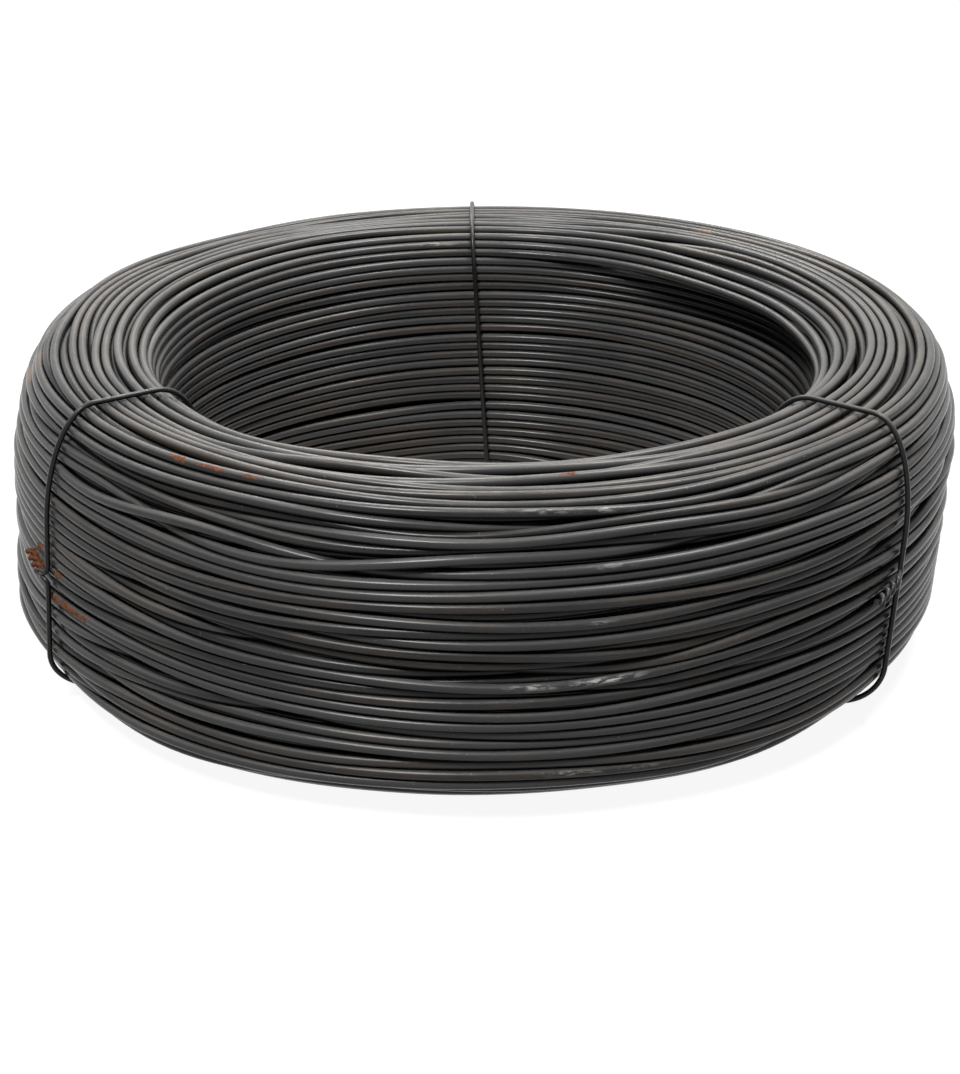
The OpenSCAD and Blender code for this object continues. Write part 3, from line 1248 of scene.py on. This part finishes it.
@dataclass
class WireCoil:
    """The laid wire: its turns by side of the ring, the deep turns behind them and the core, painted
    near-black as shade.
    """

    lay: TurnLay
    finish: WireFinish
    layer_sides: tuple[int, ...] = (12, 8, 6)
    layer_air_painted_shade: tuple[float, ...] = (1.0, 0.45, 0.2)
    layer_tones_and_shade: tuple[float, ...] = (1.0, 0.6, 0.3)
    core_depth: float = 18 * MM
    core_points: int = 48

    def core(self) -> bpy.types.Object:
        """Fills the middle of the ring, where the innermost turns lie in the dark, with one plain body
        painted in the near-black shade colour.

        Returns:
            The body.
        """
        outline = self.lay.section.outline(-self.core_depth)
        edge, _ = outline.at(np.linspace(0.0, outline.length, self.core_points, endpoint=False))
        around = self.lay.theta[::2]
        turned = np.stack(
            [
                edge[None, :, 0] * np.cos(around)[:, None],
                edge[None, :, 0] * np.sin(around)[:, None],
                np.broadcast_to(edge[None, :, 1], (len(around), len(edge))),
            ],
            axis=-1,
        )
        quads = ring_quads(len(around), len(edge))
        verts = leant(turned.reshape(-1, 3), self.lay.section, self.lay.lean)
        # no tone and no open air: the body takes the near-black painted shade colour
        values = dict.fromkeys(("turn_tone", "open_air"), np.zeros(len(verts)))
        return joined_mesh("inner_turns", verts, quads, np.zeros((quads.size, 2)), values)

    def marked(
        self, mark: Mark, places: np.ndarray, layers: np.ndarray, counts: np.ndarray
    ) -> list[np.ndarray]:
        """Finds the turns that carry a mark and how strongly their skin shows it.

        Args:
            mark: the kind of mark.
            places: the turns' places.
            layers: the layer of each turn; only those that show carry marks.
            counts: facets round each turn.

        Returns:
            For each turn its values from 0 to 1, stations by facets round the tube.
        """
        shares = [np.zeros((self.lay.stations, count)) for count in counts]
        shown = np.flatnonzero(layers == 0)
        for streak in STREAKS:
            if streak.mark is not mark:
                continue
            station = round(streak.angle / 360.0 * self.lay.stations) % self.lay.stations
            far = np.linalg.norm(places[station, shown] - (streak.radius, streak.height), axis=1)
            turn = shown[far.argmin()]
            along = self.lay.window(streak.angle, math.degrees(streak.half_run / streak.radius))
            around = streak.around(TAU * np.arange(counts[turn]) / counts[turn])
            shares[turn] = np.maximum(shares[turn], streak.strength * along[:, None] * around[None])
        return shares

    def build(self) -> list[bpy.types.Object]:
        """Lays the turns and makes their pieces.

        Returns:
            The pieces, dressed, each standing for the turned coil.
        """
        places, layers, side_of = self.lay.settled()
        r, z = places[..., 0].T, places[..., 1].T
        theta = self.lay.theta[None]
        paths = np.stack([r * np.cos(theta), r * np.sin(theta), z], axis=-1)
        paths = leant(paths, self.lay.section, self.lay.lean)
        # random tone for each turn, darker for the layers behind: painted shade on turns seen only through
        # gaps
        tones = self.lay.rng.random(len(paths)) * np.array(self.layer_tones_and_shade)[layers]
        material = self.finish.material()
        counts = np.array(self.layer_sides)[layers]
        # deeper layers get less open air, so more painted shade
        painted_shade_share = np.array(self.layer_air_painted_shade)[layers]
        skins = {mark.value: self.marked(mark, places, layers, counts) for mark in Mark}
        around = {count: TAU * np.arange(count) / count for count in self.layer_sides}
        # the lip's painted shade darkens the recessed wall turns further
        skins["open_air"] = [
            share * self.lay.painted_lip_shade[:, turn, None] * self.lay.open_air(places, turn, around[count])
            for turn, (share, count) in enumerate(zip(painted_shade_share, counts))
        ]
        deep = layers == self.lay.layers - 1
        groups = {side.value: np.array([s is side for s in side_of]) & ~deep for side in Side}
        groups["deep_turns"] = deep
        pieces = [self.core()]
        for name, mask in groups.items():
            shown = {key: [skin[turn] for turn in np.flatnonzero(mask)] for key, skin in skins.items()}
            piece = tube_mesh(name, paths[mask], 0.5 * self.lay.wire_d, tones[mask], shown)
            pieces.append(piece)
            log.info("%s: %d turns, %d faces", name, int(mask.sum()), len(piece.data.polygons))
        for piece in pieces:
            piece.data.materials.append(material)
            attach(piece, BODY)
            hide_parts(COIL_NODE)
        return pieces


@dataclass
class TieWire:
    """A thin wire passed round the ring's section, its ends twisted into a pigtail on the outer wall."""

    node: str
    angle: float
    knot_z: float
    slope: float
    section: RingSection
    finish: bpy.types.Material
    lean: float
    sway: float = 0.0
    slack: float = 0.0
    wire_d: float = 2.2 * MM
    gap: float = 0.25 * MM
    knot_len: float = 14 * MM
    knot_pitch: float = 7 * MM
    knot_bend: float = 2.6 * MM
    twist_start: float = 3 * MM
    slope_start: float = 3 * MM
    strand_gap: float = 0.2 * MM
    knot_clear: float = 0.5 * MM
    loop_step: float = 1.5 * MM
    bend_points: int = 9
    pigtail_points: int = 61
    sides: int = 10
    bevel_steps: int = 4
    smooth_angle: float = 40.0

    def __post_init__(self) -> None:
        """Works out how far the wire's flats, and a twist's strands, lie from the middle."""
        self.flat = 0.5 * self.wire_d * math.cos(math.pi / self.sides)
        self.strand_r = 0.5 * (self.wire_d + self.strand_gap)

    def wrapped(self, r: np.ndarray, t: np.ndarray, z: np.ndarray) -> np.ndarray:
        """Places points by radius, distance round the wall from the tie, and height."""
        turn = math.radians(self.angle) + t / r
        return np.stack([r * np.cos(turn), r * np.sin(turn), z], axis=-1)

    def strand(self, up: float) -> np.ndarray:
        """Bends one end of the wire off the wall and twists it into the pigtail.

        Args:
            up: 1 for the upper strand, -1 for the lower.

        Returns:
            Points from the wall to the tip.
        """
        strand_r = self.strand_r
        wall = self.section.outer_r + self.flat + self.gap
        axis = self.section.outer_r + strand_r + 0.5 * self.wire_d + self.gap
        q = np.linspace(0.0, 1.0, self.bend_points)[1:]
        bend = self.wrapped(
            wall + (axis - wall) * q,
            -self.knot_bend * (1 - np.cos(q * math.pi / 2)),
            self.knot_z + up * (strand_r + self.knot_bend * (1 - np.sin(q * math.pi / 2))),
        )
        s = np.linspace(0.0, self.knot_len, self.pigtail_points)[1:]
        start = self.twist_start
        turn = TAU / self.knot_pitch * np.where(s < start, s * s / (2 * start), s - start / 2)
        pigtail = self.wrapped(
            axis + up * strand_r * np.sin(turn),
            -self.knot_bend - s,
            self.knot_z + up * strand_r * np.cos(turn) + self.slope * s * s / (s + self.slope_start),
        )
        return np.concatenate([bend, pigtail])

    def path(self) -> np.ndarray:
        """Runs from one tip of the pigtail round the section to the other.

        Returns:
            The wire's centre line.
        """
        foot = self.section.outer_foot
        looser = replace(self.section, outer_foot=Rounding(foot.reach - self.slack, foot.rise))
        ring = looser.outline(self.flat + self.gap)
        upper, lower = self.strand(1.0), self.strand(-1.0)
        runs = np.arange(0.0, ring.length, self.loop_step)
        loop, _ = ring.at(runs)
        reach = self.strand_r + self.knot_bend + self.knot_clear
        on_wall = loop[:, 0] > self.section.outer_r
        inside_knot = on_wall & (np.abs(loop[:, 1] - self.knot_z) < reach)
        below = on_wall & (loop[:, 1] < self.knot_z)
        above = on_wall & (loop[:, 1] > self.knot_z) & (runs > 0.5 * ring.length)
        parts = (above, ~below & ~above, below)
        order = np.concatenate([np.flatnonzero(part) for part in parts])
        loop = loop[[k for k in order if not inside_knot[k]]]
        aside = self.sway * (loop[:, 1] - self.knot_z) / (self.section.top_z - self.section.foot_z)
        round_section = self.wrapped(loop[:, 0], aside, loop[:, 1])
        return np.concatenate([upper[::-1], round_section, lower])

    def map_along(self, mesh: bpy.types.Mesh, path: np.ndarray) -> None:
        """Gives the swept wire's map its real length along the wire.

        Args:
            mesh: the swept wire, mapped from 0 to 1 along its length.
            path: the wire's centre line.
        """
        layer = mesh.uv_layers[0]
        layer.name = WIRE_MAP
        places = np.empty(2 * len(mesh.loops), dtype=np.float32)
        layer.data.foreach_get("uv", places)
        places[::2] *= np.linalg.norm(np.diff(path, axis=0), axis=1).sum()
        layer.data.foreach_set("uv", places)

    def build(self) -> bpy.types.Object:
        """Sweeps the round wire along its path.

        Returns:
            The tie, dressed, standing for its node.
        """
        path = leant(self.path(), self.section, self.lean)
        curve = bpy.data.curves.new(self.node + "_wire", "CURVE")
        curve.dimensions = "3D"
        curve.bevel_depth = 0.5 * self.wire_d
        curve.bevel_resolution = self.bevel_steps
        curve.use_fill_caps = True
        spline = curve.splines.new("POLY")
        spline.points.add(len(path) - 1)
        spline.points.foreach_set("co", np.c_[path, np.ones(len(path))].astype(np.float32).ravel())
        piece = bpy.data.objects.new(self.node + "_wire", curve)
        bpy.context.collection.objects.link(piece)
        bpy.ops.object.select_all(action="DESELECT")
        piece.select_set(True)
        bpy.context.view_layer.objects.active = piece
        bpy.ops.object.convert(target="MESH")
        piece = bpy.context.view_layer.objects.active
        self.map_along(piece.data, path)
        bpy.ops.object.shade_smooth_by_angle(angle=math.radians(self.smooth_angle))
        piece.data.materials.append(self.finish)
        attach(piece, BODY)
        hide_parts(self.node)
        log.info("%s: %d faces", piece.name, len(piece.data.polygons))
        return piece


@dataclass(frozen=True)
class Lamp:
    """A soft square lamp: where it hangs, its watts and the edge of its face."""

    name: str
    place: tuple[float, float, float]
    power: float
    size: float = 0.3


LAMPS = (
    Lamp("overhead", (0.5, 0.1, 1.35), 18.0),
    Lamp("front_soft", (-0.4, -0.8, 1.3), 20.0),
    Lamp("back_top", (-0.2, 0.95, 1.1), 12.0),
)


@dataclass
class Studio:
    """Camera, soft light and pale floor."""

    middle: Vector
    elevation: float = 22.55
    distance: float = 960 * MM
    focal_px: float = 2188.0
    frame_px: tuple[float, float] = (960.0, 1074.0)
    middle_px: tuple[float, float] = (480.7, 459.0)
    sensor: float = 36.0
    floor_half: float = 4.0
    sight: float = 50.0
    fill: float = 0.024

    def camera(self) -> None:
        """Stands the camera where the photograph was taken, aimed so that the coil sits as framed."""
        rise = math.radians(self.elevation)
        eye = self.middle + self.distance * Vector((0.0, -math.cos(rise), math.sin(rise)))
        drop = math.atan((0.5 * self.frame_px[1] - self.middle_px[1]) / self.focal_px)
        side = math.atan((0.5 * self.frame_px[0] - self.middle_px[0]) / self.focal_px)
        aim = Vector((math.sin(side), math.cos(rise + drop), -math.sin(rise + drop)))
        data = bpy.data.cameras.new("photo_camera")
        data.sensor_width = self.sensor
        data.lens = self.focal_px * self.sensor / max(self.frame_px)
        data.clip_end = self.sight
        camera = bpy.data.objects.new("photo_camera", data)
        camera.location = eye
        camera.rotation_euler = aim.to_track_quat("-Z", "Y").to_euler()
        bpy.context.collection.objects.link(camera)
        bpy.context.scene.camera = camera

    def floor(self) -> None:
        """Lays the floor."""
        bpy.ops.object.select_all(action="DESELECT")
        bpy.ops.mesh.primitive_plane_add(size=2 * self.floor_half)
        floor = bpy.context.view_layer.objects.active
        floor.name = "floor"
        floor.data.materials.append(PaperFinish().material())

    def hang(self, lamp: Lamp) -> None:
        """Hangs one lamp so that it faces the coil.

        Args:
            lamp: the lamp.
        """
        data = bpy.data.lights.new(lamp.name, "AREA")
        data.size = lamp.size
        data.energy = lamp.power
        light = bpy.data.objects.new(lamp.name, data)
        light.location = lamp.place
        light.rotation_euler = (self.middle - Vector(lamp.place)).to_track_quat("-Z", "Y").to_euler()
        bpy.context.collection.objects.link(light)

    def world(self) -> None:
        """Surrounds the scene with white that lights dull surfaces only by its fill."""
        world = bpy.data.worlds.new("white_room")
        bpy.context.scene.world = world
        world.use_nodes = True
        tree = world.node_tree
        tree.nodes.clear()
        path = tree.nodes.new("ShaderNodeLightPath")
        seen = path.outputs["Is Camera Ray"]
        for kind in ("Is Glossy Ray", "Is Transmission Ray"):
            either = tree.nodes.new("ShaderNodeMath")
            either.operation = "MAXIMUM"
            tree.links.new(seen, either.inputs[0])
            tree.links.new(path.outputs[kind], either.inputs[1])
            seen = either.outputs[0]
        strength = tree.nodes.new("ShaderNodeMapRange")
        strength.inputs["To Min"].default_value = self.fill
        strength.inputs["To Max"].default_value = 1.0
        tree.links.new(seen, strength.inputs["Value"])
        back = tree.nodes.new("ShaderNodeBackground")
        back.inputs["Color"].default_value = (1.0, 1.0, 1.0, 1.0)
        tree.links.new(strength.outputs[0], back.inputs["Strength"])
        out = tree.nodes.new("ShaderNodeOutputWorld")
        tree.links.new(back.outputs[0], out.inputs["Surface"])

    def build(self) -> None:
        """Sets up camera, light and floor."""
        bpy.context.scene.view_settings.view_transform = "Standard"
        self.camera()
        self.floor()
        self.world()
        for lamp in LAMPS:
            self.hang(lamp)


def main() -> None:
    """Builds the coil, its ties and the studio."""
    logging.basicConfig(level=logging.INFO, format="%(name)s: %(message)s")
    low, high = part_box(COIL_NODE)
    section = RingSection(outer_r=0.5 * (high[0] - low[0]), eye_r=EYE_R, foot_z=FOOT_Z, top_z=TOP_Z)
    coil_finish = WireFinish(
        "dark_annealed_wire",
        dark=(0.022, 0.022, 0.023, 1.0),
        light=(0.054, 0.054, 0.055, 1.0),
        warm=(0.052, 0.040, 0.031, 1.0),
        rusts=SPOT_RUST,
        stains=STAIN_PATCHES,
    )
    tie_finish = WireFinish(
        "dull_tie_wire",
        dark=(0.012, 0.012, 0.012, 1.0),
        light=(0.040, 0.040, 0.041, 1.0),
        warm=(0.036, 0.028, 0.022, 1.0),
        rusts=KNOT_RUST,
        coiled=False,
    )
    lay = TurnLay(section, WIRE_D, (BACK_AT, LEFT_AT, RIGHT_AT))
    coil = WireCoil(lay, coil_finish)
    coil.build()
    shared = (section, tie_finish.material(), lay.lean)
    ties = (
        TieWire("tie_back", BACK_AT, FOOT_Z + 58 * MM, 0.1, *shared, sway=15 * MM),
        TieWire("tie_left", LEFT_AT, FOOT_Z + 56 * MM, 0.45, *shared),
        TieWire("tie_right", RIGHT_AT, FOOT_Z + 62 * MM, -0.45, *shared, slack=10 * MM),
    )
    for tie in ties:
        tie.build()
    Studio(Vector((0.0, 0.0, 0.5 * (section.foot_z + section.top_z)))).build()


if __name__ == "__main__":
    main()
